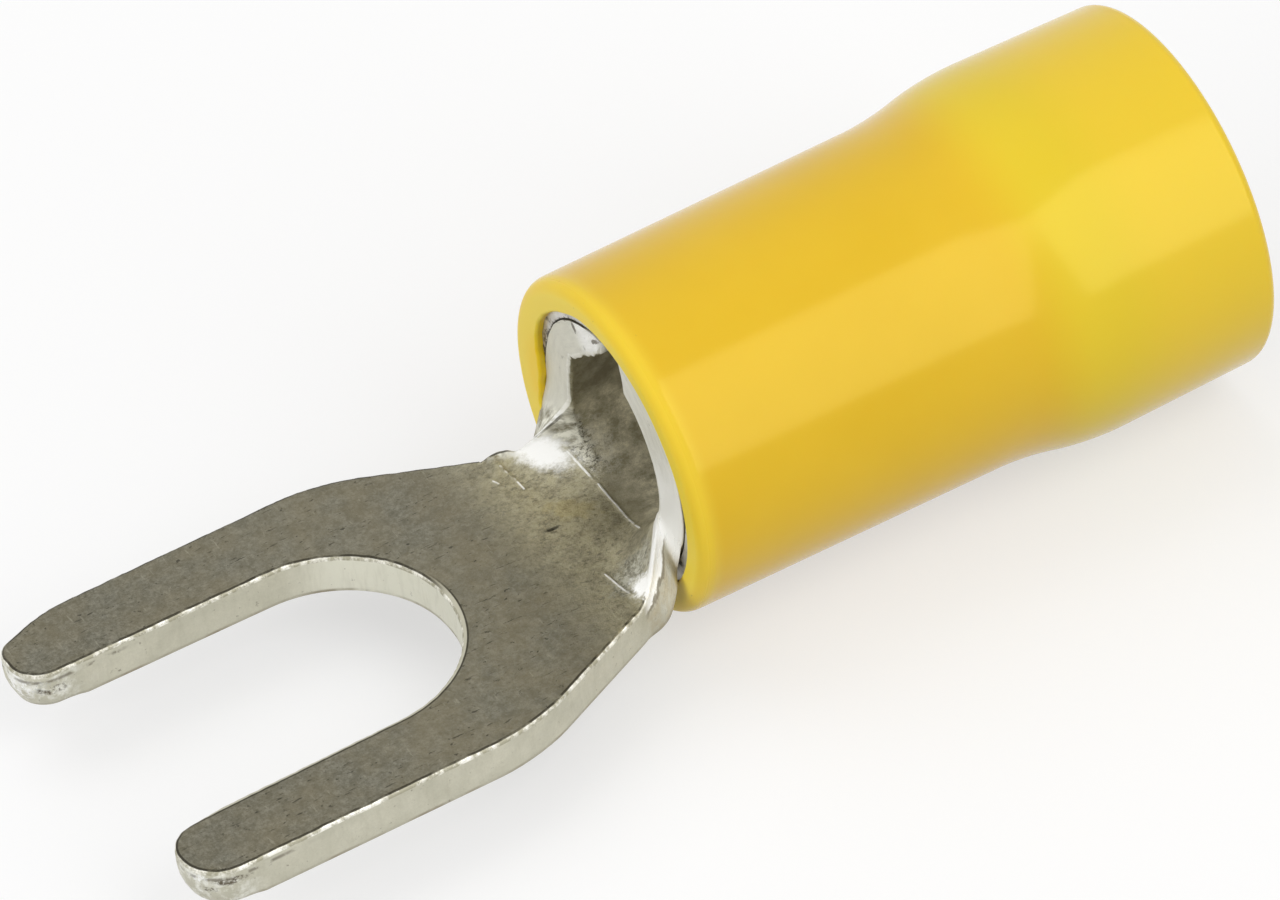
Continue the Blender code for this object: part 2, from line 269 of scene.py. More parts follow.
def distance_to_line(place, points):
    """Distance in the flat from a place to a line through points."""
    nearest = 1e9
    for start, end in zip(points, points[1:]):
        run = Vector(end) - Vector(start)
        along = min(1.0, max(0.0, (place - Vector(start)).dot(run) / run.length_squared))
        nearest = min(nearest, (place - Vector(start) - run * along).length)
    return nearest


def groove_depth(along):
    """Depth of the barrel's inside grooves, which have soft shoulders."""
    nearest = min(abs(along - place) for place in GROOVE_PLACES)
    return GROOVE_DEPTH * (1 - smooth_step(GROOVE_HALF_WIDTH * 0.5, GROOVE_HALF_WIDTH, nearest))


def bend_share(along, across):
    """Share of the full bend, which eases into the barrel along the middle of the neck."""
    share = (along - BEND_REACH) / (BARREL_REACH - BEND_REACH)
    beyond = min(max(0.0, share - 1 + BEND_EASING), 2 * BEND_EASING)
    eased = min(share, 1 + BEND_EASING) - beyond * beyond / (4 * BEND_EASING)
    middle = 1 - smooth_step(NECK_WIDTH * 0.38, NECK_WIDTH * 0.55, abs(across))
    return min(1.0, share) * (1 - middle) + eased * middle


def eased(knots, value):
    """Read a value from (place, height) knots, with a smooth run between them."""
    for (low, low_height), (high, high_height) in zip(knots, knots[1:]):
        if value <= high:
            return low_height + (high_height - low_height) * smooth_step(low, high, value)
    return knots[-1][1]


def round_angle(aside, above):
    """Degrees round the barrel, from the far side up over the top."""
    return math.degrees(math.atan2(above, aside))


def rolled(place):
    """Where a point of the flat blank (along, across, through) lies on the rolled fork."""
    along, across, through = place
    bend = bend_share(along, across)
    if bend < STILL_FLAT:
        return Vector((along, across, through))
    lift = through - SHEET / 2
    if lift > 0:
        lift -= groove_depth(along)
    if bend < FULLY_BENT:
        runs = [(math.inf, roll_radius / bend ** BEND_POWER)]
    else:
        runs = FAR_RUNS if across > 0 else NEAR_RUNS
    aside, height, _ = followed(runs, abs(across), lift)
    from_axis = Vector((0.0, math.copysign(aside, across), height - barrel_radius))
    reach = pressed_radius - eased(BARREL_PRESS, round_angle(from_axis.y, from_axis.z))
    if along >= BARREL_REACH and from_axis.length > reach:
        from_axis *= reach / from_axis.length
    return Vector((along, from_axis.y, barrel_radius + from_axis.z))


def rolled_off(place):
    """A place on a prong's tip, with its lower edge drawn in as the press leaves it."""
    along = min(1.0, (TIP_ROLL_OFF_RUN - PRONG_REACH - place.x) / TIP_ROLL_OFF_RUN)
    down = 1 - place.z / TIP_ROLL_OFF_HEIGHT
    if along <= 0 or down <= 0:
        return place
    prong_middle = math.copysign((SLOT_WIDTH + FORK_WIDTH) / 4, place.y)
    middle = Vector((TIP_ROLL_OFF_RUN - PRONG_REACH, prong_middle, place.z))
    return place + (middle - place).normalized() * TIP_ROLL_OFF * down ** 2 * math.sqrt(along)


def rim_profile(height):
    """Place on the sheet's section: 0 on top, 1 at the burr, 1.5 on the cut side, 3 below."""
    knots = ((0.0, 2.65), (UNDERSIDE_ROUNDING, 2.0), (CUT_SIDE_LOW, 1.5), (CUT_SIDE_HIGH, 1.5),
             (SHEET - TOP_ROUNDING, 1.0), (SHEET, 0.35))
    for (low, low_value), (high, high_value) in zip(knots, knots[1:]):
        if height <= high:
            share = min(1.0, max(0.0, (height - low) / (high - low)))
            return low_value + (high_value - low_value) * share
    return knots[-1][1]


blank = flat_outline(blank_corners(), math.radians(4))
raised = bmesh.ops.extrude_face_region(blank, geom=blank.faces[:])
bmesh.ops.translate(blank, vec=(0, 0, SHEET),
                    verts=[item for item in raised["geom"] if isinstance(item, bmesh.types.BMVert)])
bmesh.ops.recalc_face_normals(blank, faces=blank.faces)
for level, rounding in ((SHEET, TOP_ROUNDING), (0.0, UNDERSIDE_ROUNDING)):
    rims = [edge for edge in blank.edges
            if all(abs(vert.co.z - level) < 0.001 for vert in edge.verts)]
    bmesh.ops.bevel(blank, geom=rims, offset=rounding, offset_type="OFFSET", segments=3,
                    profile=0.5, affect="EDGES", material=-1, clamp_overlap=True)
for vert in blank.verts:
    if vert.co.y > far_wing - 2 * WING_CORNER_RADIUS:
        vert.co.y -= FAR_SEAM_SLANT / SHEET * vert.co.z
    elif vert.co.y < 2 * WING_CORNER_RADIUS - near_wing:
        vert.co.y += NEAR_SEAM_SLANT / SHEET * vert.co.z

MESH_STEP = 0.09
NECK_STEP = 0.035
BARREL_STEP = 0.13
FIRST_SCORE = -5.4
NECK_START = 5.0
NECK_END = 7.1
LAST_SCORE = 13.5
NECK_TOP_HALF = 4.0
NECK_TOP_LEVEL = 0.9
lengthwise = steps(FIRST_SCORE, NECK_START, MESH_STEP)
lengthwise += steps(NECK_START, NECK_END, NECK_STEP)[1:]
lengthwise += steps(NECK_END, LAST_SCORE, BARREL_STEP)[1:]
sideways = steps(-7.0, 8.5, MESH_STEP)
faces = score(blank, blank.faces[:], 0, lengthwise)
faces = score(blank, faces, 1, sideways)
faces = score(blank, faces, 2, (CUT_SIDE_LOW, 0.38, 0.6, CUT_SIDE_HIGH))
neck_top = []
for face in blank.faces:
    middle = face.calc_center_median()
    over_neck = NECK_START < middle.x < NECK_END and abs(middle.y) < NECK_TOP_HALF
    if over_neck and middle.z > NECK_TOP_LEVEL:
        neck_top.append(face)
score(blank, neck_top, 1, [place + MESH_STEP / 2 for place in sideways])
bmesh.ops.triangulate(blank, faces=[face for face in blank.faces if len(face.verts) > 4])

profile_layer = blank.verts.layers.float.new("sheet_profile")
mark_layer = blank.verts.layers.float.new("press_marks")
margin_layer = blank.verts.layers.float.new("neck_margin")
slot_layer = blank.verts.layers.float.new("slot_margin")
place_layer = blank.verts.layers.float_vector.new("blank_place")
# Creases that the press left on the neck, as lines on the blank.
PRESS_MARKS = (
    ((6.64, 2.04), (6.80, 1.10)),
    ((6.83, 0.98), (6.87, 0.14), (6.78, -1.24)),
    ((5.60, -1.52), (5.66, -2.14), (5.82, -2.74)),
    ((5.54, 2.56), (5.60, 2.14), (5.60, 1.70)),
    ((5.20, 2.30), (5.26, 2.14)),
)
MARK_REACH = 0.2
MARK_HALF_WIDTH = 0.05
MARK_LIFT = 0.02
# Dents are (along, across, length, width, depth).
DENTS = ((5.46, 0.32, 0.16, 0.06, 0.03), (5.2, 0.55, 0.12, 0.03, 0.015))
LUMP_HEIGHT = 0.15
LUMP_RISE = (5.25, 5.5)
LUMP_FALL = (5.8, 6.1)
LUMP_EDGE = (2.35, 2.85)
# The neck's near edge is upset: it bulges out under the bend.
UPSET = 0.32
UPSET_RISE = (5.7, 6.3)
UPSET_FALL = (6.5, 6.8)
UPSET_BELOW = (0.25, 0.85)
UPSET_DEPTH = (0.1, 0.7)
SHEET_WAVE = 0.006
BURR_WAVE = 0.016
FAR_BURR_WAVE = 0.08
FAR_BURR_SHIFT = Vector((4, 1, 7))
HAIR = 0.0001
for vert in blank.verts:
    flat = vert.co.copy()
    on_top = flat.z > SHEET - HAIR
    below = flat.z < HAIR
    if on_top or below:
        at_rim = any(HAIR < other.co.z < SHEET - HAIR
                     for face in vert.link_faces for other in face.verts)
        vert[profile_layer] = rim_profile(flat.z) if at_rim else (0.0 if on_top else 3.0)
    else:
        vert[profile_layer] = rim_profile(flat.z)
    vert[place_layer] = flat
    vert[mark_layer] = MARK_REACH
    vert[margin_layer] = inside_neck_edge(flat)
    vert[slot_layer] = math.hypot(max(flat.x, 0.0), flat.y) - SLOT_WIDTH / 2
    vert[slot_layer] += min(flat.x, 0.0) * SLOT_FLARE / 2 / PRONG_REACH
moved = {}
for vert in blank.verts:
    flat = vert[place_layer].copy()
    lift = 0.0
    if flat.z > SHEET - TOP_ROUNDING - 0.001 and 4.5 < flat.x < 7.3:
        nearest = min(distance_to_line(flat.xy, mark) for mark in PRESS_MARKS)
        vert[mark_layer] = min(MARK_REACH, nearest)
        lift += MARK_LIFT * (1 - smooth_step(0.0, MARK_HALF_WIDTH, nearest))
        for x, y, long, wide, depth in DENTS:
            reach = math.hypot((flat.x - x) / long, (flat.y - y) / wide)
            lift -= depth * (1 - smooth_step(0.3, 1.0, reach))
        lift += LUMP_HEIGHT * swell(LUMP_RISE, LUMP_FALL, flat.x) * smooth_step(*LUMP_EDGE, flat.y)
    wave = noise.noise(flat * 0.8) * SHEET_WAVE
    at_burr = 0.3 < vert[profile_layer] < 1.2
    if at_burr:
        wave += noise.noise(flat * 5.5) * BURR_WAVE
    if at_burr and 5.3 < flat.x < 6.95 and flat.y > 1.2:
        wave += noise.noise(flat * 4.5 + FAR_BURR_SHIFT) * FAR_BURR_WAVE
    if flat.y < 0:
        upset = swell(UPSET_RISE, UPSET_FALL, flat.x) * (1 - smooth_step(*UPSET_BELOW, flat.z))
        flat.y -= UPSET * upset * (1 - smooth_step(*UPSET_DEPTH, inside_neck_edge(flat)))
    flat = rolled_off(flat)
    flat.z += lift + wave
    moved[vert] = rolled(flat)
for vert, place in moved.items():
    vert.co = place


def put_in_place(bm, name):
    """Make an object of a shape in millimetres, in the row's place and in metres."""
    bmesh.ops.translate(bm, verts=bm.verts, vec=stud_centre)
    bmesh.ops.scale(bm, verts=bm.verts, vec=(0.001, 0.001, 0.001))
    mesh = bpy.data.meshes.new(name)
    bm.to_mesh(mesh)
    bm.free()
    mesh.shade_smooth()
    piece = bpy.data.objects.new(name, mesh)
    bpy.context.scene.collection.objects.link(piece)
    return piece


def add_node(tree, kind, inputs=(), **settings):
    """Add a shader node; inputs are (socket, value or output to link)."""
    made = tree.nodes.new(kind)
    for name, value in settings.items():
        setattr(made, name, value)
    for socket, value in inputs:
        if isinstance(value, bpy.types.NodeSocket):
            tree.links.new(value, made.inputs[socket])
        else:
            made.inputs[socket].default_value = value
    return made


def spots(tree, place, scale, low, high, detail=2.0, roughness=0.5, stretch=(1, 1, 1), turn=0.0):
    """Noise between low and high, from 0 to 1, at a scale per unit of the place."""
    moved_place = add_node(tree, "ShaderNodeMapping", [
        ("Vector", place), ("Scale", stretch), ("Rotation", (0, 0, turn))])
    grain = add_node(tree, "ShaderNodeTexNoise", [
        ("Vector", moved_place.outputs[0]), ("Scale", scale), ("Detail", detail),
        ("Roughness", roughness)])
    spread = add_node(tree, "ShaderNodeMapRange", [
        ("Value", grain.outputs["Fac"]), ("From Min", low), ("From Max", high)])
    return spread.outputs[0]


def blended(tree, share, first, second, mode="MIX"):
    """Blend two colours by a share."""
    mix = add_node(tree, "ShaderNodeMix", [(0, share)], data_type="RGBA", blend_type=mode)
    for socket, value in ((6, first), (7, second)):
        if isinstance(value, bpy.types.NodeSocket):
            tree.links.new(value, mix.inputs[socket])
        else:
            mix.inputs[socket].default_value = (*value, 1.0)
    return mix.outputs[2]


def combined(tree, operation, first, second):
    """A math node's result."""
    return add_node(tree, "ShaderNodeMath", [(0, first), (1, second)],
                    operation=operation).outputs[0]


def ramp(tree, value, start, end, low=0.0, high=1.0):
    """A value's smooth rise or fall from low at start to high at end."""
    return add_node(tree, "ShaderNodeMapRange", [
        ("Value", value), ("From Min", start), ("From Max", end), ("To Min", low),
        ("To Max", high)], interpolation_type="SMOOTHSTEP").outputs[0]


def both(tree, first, *others):
    """The product of shares."""
    for other in others:
        first = combined(tree, "MULTIPLY", first, other)
    return first


def strongest(tree, first, *others):
    """The largest of shares."""
    for other in others:
        first = combined(tree, "MAXIMUM", first, other)
    return first


def band(tree, value, rise, fall):
    """1 between a rise and a fall, each a (0 at, 1 at) pair, and 0 outside them."""
    return both(tree, ramp(tree, value, *rise), ramp(tree, value, *fall))


def layer(tree, name, output="Fac"):
    """What a layer of the mesh says at the place that is shaded."""
    return add_node(tree, "ShaderNodeAttribute", attribute_name=name).outputs[output]


def new_surface(name):
    """A new material, its node tree and its main shader."""
    material = bpy.data.materials.new(name)
    material.use_nodes = True
    return material, material.node_tree, material.node_tree.nodes["Principled BSDF"]


def patch(tree, place, centre, size, turn=0.0, raggedness=1.0, edge=0.4):
    """1 inside an egg shape on the blank, with a ragged edge, and 0 outside."""
    offset = add_node(tree, "ShaderNodeVectorMath", [(0, place), (1, centre)],
                      operation="SUBTRACT")
    faced = add_node(tree, "ShaderNodeMapping", [
        ("Vector", offset.outputs[0]), ("Rotation", (0, 0, -turn))], vector_type="POINT")
    scaled = add_node(tree, "ShaderNodeVectorMath", [
        (0, faced.outputs[0]), (1, [1 / reach for reach in size])], operation="MULTIPLY")
    reach = add_node(tree, "ShaderNodeVectorMath", [(0, scaled.outputs[0])], operation="LENGTH")
    rough = spots(tree, place, 5.0, 0.2, 0.8, 5.0, 0.75)
    wander = both(tree, combined(tree, "SUBTRACT", rough, 0.5), raggedness)
    return ramp(tree, combined(tree, "ADD", reach.outputs["Value"], wander), 1 + edge, 1 - edge)


def without(tree, share):
    """What is left of 1."""
    return combined(tree, "SUBTRACT", 1.0, share)


FACE_GREY = (0.166, 0.160, 0.122)
WEB_GREY = (0.228, 0.216, 0.160)
FACE_DARK = (0.110, 0.102, 0.070)
FACE_LIGHT = (0.290, 0.277, 0.220)
FACE_TAN = (0.245, 0.208, 0.125)
FLECK_DARK = (0.040, 0.036, 0.026)
NECK_OLIVE = (0.435, 0.402, 0.268)
NECK_BROWN = (0.20, 0.182, 0.12)
BORE_LIT_OLIVE = (0.95, 0.89, 0.67)
BORE_DARK = (0.33, 0.30, 0.20)
CUT_GREY = (0.545, 0.53, 0.42)
CUT_LIGHT = (0.64, 0.62, 0.50)
CUT_DARK = (0.12, 0.10, 0.065)
ROOT_PAINTED_LIGHT = (0.76, 0.75, 0.63)
WING_GREY = (0.71, 0.70, 0.60)
WING_WHITE = (0.97, 0.97, 0.93)
BURR_GLINT_WHITE = (0.97, 0.95, 0.86)
BURR_GREY = (0.40, 0.38, 0.28)
LOW_SHADE_BROWN = (0.27, 0.23, 0.15)
# Near white of polished tin, also used for painted glints and reflections.
POLISHED_GLINT = (0.98, 0.98, 0.95)
SCRATCH_LIGHT = (0.50, 0.48, 0.38)
NECK_LIGHT = (0.64, 0.60, 0.45)
NECK_FLECK = (0.09, 0.08, 0.055)
BORE_SHADE = (0.20, 0.18, 0.125)
BORE_LIGHT = (0.85, 0.82, 0.68)
STAIN_YELLOW = (0.50, 0.40, 0.14)
SMUDGE_DARK = (0.10, 0.10, 0.085)
SMUDGE_LIGHT = (0.50, 0.50, 0.43)
SCORCH_DARK = (0.075, 0.070, 0.055)
SCORCH_LIGHT = (0.62, 0.61, 0.53)
LUMP_DARK = (0.20, 0.18, 0.11)
LUMP_LIGHT = (0.92, 0.91, 0.80)
CUT_GRAIN = (0.36, 0.34, 0.26)
DRAG_GREY = (0.38, 0.36, 0.27)
TIP_GREY = (0.50, 0.51, 0.47)
TIP_GLINT = (0.93, 0.93, 0.86)
CORNER_GREY = (0.46, 0.44, 0.35)
CORNER_BROWN = (0.40, 0.31, 0.15)
NEAR_WING_GREY = (0.80, 0.79, 0.70)
WING_SMEAR = (0.50, 0.49, 0.42)
WING_SPOT = (0.22, 0.21, 0.16)
WING_BURR_GLINT = (0.86, 0.85, 0.76)
# Where one look gives way to the next along the blank: 0 at the first place, 1 at the second.
WEB_FADE = (-3.5, 3.5)
NECK_FADE = (3.9, 5.9)
BORE_FADE = (6.62, 7.5)
WING_FADE = (6.70, 6.86)
TIP_FADE = (-3.9, -5.0)
# Marks on the tips' cut sides: painted glints in near white, a grey mark and dark marks. Each is
# the middle on the blank, the reach each way, and the tone.
TIP_MARKS = (
    ((-5.50, 3.25, 0.55), (0.28, 0.34, 0.28), POLISHED_GLINT),
    ((-5.22, 2.90, 0.60), (0.15, 0.20, 0.16), TIP_GREY),
    ((-4.98, 2.74, 0.48), (0.36, 0.25, 0.11), CUT_DARK),
    ((-5.54, -4.20, 0.72), (0.26, 0.30, 0.12), POLISHED_GLINT),
    ((-5.44, -4.30, 0.45), (0.22, 0.25, 0.06), CUT_DARK),
    ((-5.05, -4.46, 0.66), (0.42, 0.20, 0.09), CUT_DARK),
)
# Dark chips on the far wing's front end: the middle on the blank and the reach each way.
WING_CHIPS = (
    ((6.9, 6.16, 0.28), (1.0, 0.07, 0.13)),
    ((6.9, 6.98, 0.64), (1.0, 0.16, 0.05)),
    ((6.9, 7.10, 0.93), (1.0, 0.28, 0.06)),
)

tin, tree, shader = new_surface("tinned_sheet")
sheet_place = layer(tree, "blank_place", "Vector")
profile = layer(tree, "sheet_profile")
neck_margin = layer(tree, "neck_margin")
slot_margin = layer(tree, "slot_margin")
off_mark = layer(tree, "press_marks")
axes = add_node(tree, "ShaderNodeSeparateXYZ", [(0, sheet_place)])
along, across, through = axes.outputs[0], axes.outputs[1], axes.outputs[2]

grain = spots(tree, sheet_place, 13.0, 0.40, 0.60, 5.0, 0.8)
mottle = spots(tree, sheet_place, 4.0, 0.38, 0.62, 5.0, 0.75)
cloud = spots(tree, sheet_place, 0.9, 0.35, 0.65, 3.0, 0.6)
face = blended(tree, ramp(tree, along, *WEB_FADE), FACE_GREY, WEB_GREY)
far_web = both(tree, ramp(tree, across, -1.0, 3.0), ramp(tree, along, 0.5, 3.0), 0.65)
face = blended(tree, far_web, face, FACE_GREY)
face = blended(tree, both(tree, grain, 0.9), face, FACE_LIGHT)
face = blended(tree, both(tree, mottle, 0.55), face, FACE_DARK)
face = blended(tree, both(tree, cloud, 0.35), face, FACE_TAN)
flecks = spots(tree, sheet_place, 5.5, 0.655, 0.70, 3.0, 0.6, (1.0, 1.6, 1.0), 0.9)
scratches = spots(tree, sheet_place, 1.0, 0.64, 0.70, 3.0, 0.6, (2.0, 11.0, 2.0), 0.5)
light_scratches = spots(tree, sheet_place, 1.0, 0.66, 0.72, 3.0, 0.6, (9.0, 1.6, 2.0), -0.4)
face = blended(tree, both(tree, flecks, 0.7), face, FLECK_DARK)
face = blended(tree, both(tree, scratches, 0.7), face, FLECK_DARK)
face = blended(tree, both(tree, light_scratches, 0.25), face, SCRATCH_LIGHT)
# Along the slot's edge on top: a thin dark line, a painted reflection on the rounded edge, and a
# painted highlight on the edge itself.
rolled_slot = ramp(tree, across, 0.9, -0.3)
slot_shine = both(tree, rolled_slot, ramp(tree, slot_margin, 0.13, 0.11))
slot_line = both(tree, rolled_slot, band(tree, slot_margin, (0.17, 0.15), (0.11, 0.13)))
face = blended(tree, both(tree, slot_line, 0.8), face, FLECK_DARK)
face = blended(tree, both(tree, slot_shine, 0.8), face, CUT_LIGHT)

neck_mottle = spots(tree, sheet_place, 2.8, 0.42, 0.60, 6.0, 0.8)
olive = blended(tree, both(tree, neck_mottle, 0.85), NECK_OLIVE, NECK_BROWN)
olive = blended(tree, both(tree, grain, 0.40), olive, NECK_LIGHT)
neck_flecks = spots(tree, sheet_place, 7.0, 0.59, 0.65, 3.0, 0.6, (1.0, 1.4, 1.0), 0.4)
olive = blended(tree, both(tree, neck_flecks, 0.45), olive, NECK_FLECK)
face = blended(tree, ramp(tree, along, *NECK_FADE), face, olive)
# The bore's inside is painted far lighter than the tin outside, as painted light that makes up for
# the shade in the tube, and darker up the far wall, as painted shade.
inside_mottle = spots(tree, sheet_place, 1.7, 0.36, 0.62, 5.0, 0.7)
inside = blended(tree, inside_mottle, BORE_LIT_OLIVE, BORE_DARK)
inside = blended(tree, both(tree, grain, 0.3), inside, BORE_DARK)
inside = blended(tree, both(tree, ramp(tree, across, 2.8, 3.8), 0.58), inside, BORE_SHADE)
bore = ramp(tree, along, *BORE_FADE)
face = blended(tree, bore, face, inside)
stain = patch(tree, sheet_place, (6.08, 0.58, SHEET), (0.50, 0.26, 1.0), -0.6, 2.0)
face = blended(tree, both(tree, stain, 0.26), face, STAIN_YELLOW)
dent = patch(tree, sheet_place, (5.46, 0.32, SHEET), (0.15, 0.05, 1.0), 0.0, 0.5)
face = blended(tree, both(tree, dent, 0.85), face, FLECK_DARK)
smudge = patch(tree, sheet_place, (6.05, -2.02, SHEET), (0.55, 0.38, 1.0), 0.1, 1.6)
pepper = spots(tree, sheet_place, 9.0, 0.42, 0.56, 4.0, 0.8)
face = blended(tree, both(tree, smudge, 0.6), face,
               blended(tree, pepper, SMUDGE_DARK, SMUDGE_LIGHT))
far_scorch = patch(tree, sheet_place, (6.86, 2.26, SHEET), (0.26, 0.85, 1.0), 0.1, 1.8)
face = blended(tree, both(tree, far_scorch, 0.85), face,
               blended(tree, pepper, SCORCH_DARK, SCORCH_LIGHT))
# A lighter patch low on the bore's far side is painted light, and a darker one on its floor painted
# shade.
low_bore = patch(tree, sheet_place, (7.20, 1.85, SHEET), (0.35, 0.75, 1.0), 0.0, 1.8)
face = blended(tree, both(tree, low_bore, pepper, 0.5), face, BORE_LIGHT)
bore_floor = patch(tree, sheet_place, (7.20, 0.30, SHEET), (0.45, 0.75, 1.0), 0.0, 1.4)
face = blended(tree, both(tree, bore_floor, 0.4), face, BORE_DARK)
near_shade = patch(tree, sheet_place, (6.55, -1.40, SHEET), (0.35, 0.40, 1.0), 0.0, 1.6)
face = blended(tree, both(tree, near_shade, 0.4), face, NECK_BROWN)

# Near-white spots on the neck, at the far and near corners, along the near edge and on the press
# marks' creases: burnished tin, with a painted reflection of the key box and painted glints on the
# creases.
far_polish_glint = patch(tree, sheet_place, (6.28, 2.32, SHEET), (0.66, 0.29, 1.0), -1.13, 1.1, 0.5)
near_polish_glint = patch(tree, sheet_place, (5.98, -2.50, SHEET), (0.20, 0.32, 1.0), 0.3, 1.5)
near_strip = both(tree, ramp(tree, neck_margin, 0.20, 0.11), ramp(tree, across, -1.9, -2.1),
                  band(tree, along, (5.85, 5.97), (6.95, 6.85)))
mark_break = spots(tree, sheet_place, 3.0, 0.36, 0.50, 2.0, 0.5)
mark = both(tree, ramp(tree, off_mark, 0.032, 0.010), mark_break, 0.85)
polish_and_glint = strongest(tree, far_polish_glint, near_polish_glint, near_strip, mark)
lumps = spots(tree, sheet_place, 5.0, 0.36, 0.62, 3.0, 0.6)
lumpy = blended(tree, lumps, LUMP_DARK, LUMP_LIGHT)
far_neck = both(tree, band(tree, along, (5.2, 5.5), (7.0, 6.8)), ramp(tree, across, 1.0, 1.5))
ragged_margin = combined(tree, "ADD", neck_margin, both(tree, lumps, 0.12))
far_margin = both(tree, far_neck, ramp(tree, ragged_margin, 0.34, 0.18))
face = blended(tree, both(tree, far_margin, 0.85), face, lumpy)
face = blended(tree, polish_and_glint, face, POLISHED_GLINT)

blotch = spots(tree, sheet_place, 1.3, 0.35, 0.65, 4.0, 0.55)
cut = blended(tree, blotch, CUT_GREY, CUT_LIGHT)
cut_grain = spots(tree, sheet_place, 20.0, 0.3, 0.7, 3.0, 0.6)
cut = blended(tree, both(tree, cut_grain, 0.2), cut, CUT_GRAIN)
# The cut wall round the slot's root is painted lighter: painted light.
root = band(tree, along, (0.2, 1.6), (3.0, 2.8))
inner_side = band(tree, across, (-2.9, -2.6), (2.9, 2.6))
cut = blended(tree, both(tree, root, inner_side), cut, ROOT_PAINTED_LIGHT)
nicks = spots(tree, sheet_place, 6.0, 0.645, 0.70, 4.0, 0.7)
cut = blended(tree, both(tree, nicks, 0.6), cut, CUT_DARK)
drag = spots(tree, sheet_place, 6.0, 0.50, 0.75, 3.0, 0.6, (1.0, 1.0, 0.18))
cut = blended(tree, both(tree, drag, 0.22), cut, DRAG_GREY)
tip = ramp(tree, along, *TIP_FADE)
glint = spots(tree, sheet_place, 2.2, 0.46, 0.62, 5.0, 0.7)
cut = blended(tree, both(tree, tip, glint, 0.8), cut, TIP_GLINT)
torn = spots(tree, sheet_place, 7.0, 0.44, 0.56, 5.0, 0.8)
for centre, size, tone in TIP_MARKS:
    tip_mark = patch(tree, sheet_place, centre, size, 0.0, 1.8)
    cut = blended(tree, both(tree, tip_mark, torn), cut, tone)
scuffs = spots(tree, sheet_place, 2.6, 0.46, 0.56, 3.0, 0.6)
scuff_band = both(tree, band(tree, through, (0.66, 0.72), (0.80, 0.74)),
                  ramp(tree, along, -2.8, -4.0))
cut = blended(tree, both(tree, scuff_band, scuffs, 0.7), cut, CUT_DARK)
cut = blended(tree, both(tree, far_neck, 0.85), cut, lumpy)
# The near neck's cut wall is painted darker and browner, as painted shade, crossed by a thin dark
# line; along its top edge it is near white, polished tin with a painted glint.
near_neck = both(tree, band(tree, along, (5.70, 5.9), (6.98, 6.9)), ramp(tree, across, -1.7, -2.0))
ragged_height = combined(tree, "ADD", through, both(tree, lumps, 0.10))
cut = blended(tree, both(tree, near_neck, 0.6), cut, CORNER_GREY)
cut = blended(tree, both(tree, near_neck, lumps, 0.4), cut, CORNER_BROWN)
corner_line = band(tree, ragged_height, (0.60, 0.64), (0.72, 0.68))
cut = blended(tree, both(tree, near_neck, corner_line, 0.6), cut, CUT_DARK)
cut = blended(tree, both(tree, near_neck, ramp(tree, ragged_height, 0.68, 0.74)), cut, POLISHED_GLINT)
wing = ramp(tree, along, *WING_FADE)
wing_tone = blended(tree, ramp(tree, across, -5.2, -3.6), NEAR_WING_GREY, WING_WHITE)
wing_tone = blended(tree, ramp(tree, across, -2.0, 1.0), wing_tone, WING_GREY)
wing_tone = blended(tree, ramp(tree, across, 5.9, 6.5), wing_tone, WING_WHITE)
wing_smears = spots(tree, sheet_place, 2.4, 0.40, 0.66, 5.0, 0.7, (1.0, 0.7, 2.6))
near_white = band(tree, across, (-4.6, -3.8), (-1.5, -2.2))
wing_tone = blended(tree, both(tree, wing_smears, without(tree, near_white), 0.35), wing_tone,
                    WING_SMEAR)
wing_spots = spots(tree, sheet_place, 3.1, 0.64, 0.70, 4.0, 0.7)
wing_tone = blended(tree, both(tree, wing_spots, 0.5), wing_tone, WING_SPOT)
for centre, size in WING_CHIPS:
    chip = patch(tree, sheet_place, centre, size, 0.0, 1.6, 0.2)
    wing_tone = blended(tree, both(tree, chip, 0.9), wing_tone, CUT_DARK)
ragged_through = combined(tree, "ADD", through, both(tree, lumps, 0.14))
outer_scorch = both(tree, band(tree, across, (4.6, 5.0), (7.1, 6.7)),
                    ramp(tree, ragged_through, 0.17, 0.11))
wing_tone = blended(tree, both(tree, outer_scorch, 0.9), wing_tone, FLECK_DARK)
cut = blended(tree, wing, cut, wing_tone)

# Along the top edges: broken near-white glints painted on the burr, brightest on the neck's lumps
# and near corner, and a thin painted dark reflection just inside them. Then the cut side, a
# brownish line of painted shade on the lower rounding, and the underside.
rim_break = spots(tree, sheet_place, 3.4, 0.44, 0.62, 5.0, 0.7)
burr = blended(tree, rim_break, BURR_GREY, BURR_GLINT_WHITE)
bright_burr = strongest(tree, both(tree, near_neck, 0.9), both(tree, far_neck, lumps))
burr = blended(tree, bright_burr, burr, POLISHED_GLINT)
burr = blended(tree, both(tree, wing, 0.7), burr, WING_BURR_GLINT)
dark_break = spots(tree, sheet_place, 1.9, 0.34, 0.52, 4.0, 0.65)
off_slot = without(tree, both(tree, rolled_slot, ramp(tree, slot_margin, 0.20, 0.17)))
dark_line = both(tree, band(tree, profile, (0.33, 0.38), (0.56, 0.48)), dark_break, off_slot,
                 without(tree, wing))
bright_line = ramp(tree, profile, 0.44, 0.56)
side = ramp(tree, profile, 1.10, 1.28)
low_line = ramp(tree, profile, 1.70, 1.92)
under = ramp(tree, profile, 2.6, 2.8)
colour = blended(tree, bright_line, face, burr)
colour = blended(tree, both(tree, dark_line, without(tree, polish_and_glint), 0.85), colour, FLECK_DARK)
colour = blended(tree, side, colour, cut)
colour = blended(tree, both(tree, low_line, without(tree, wing), blotch, 0.8), colour, LOW_SHADE_BROWN)
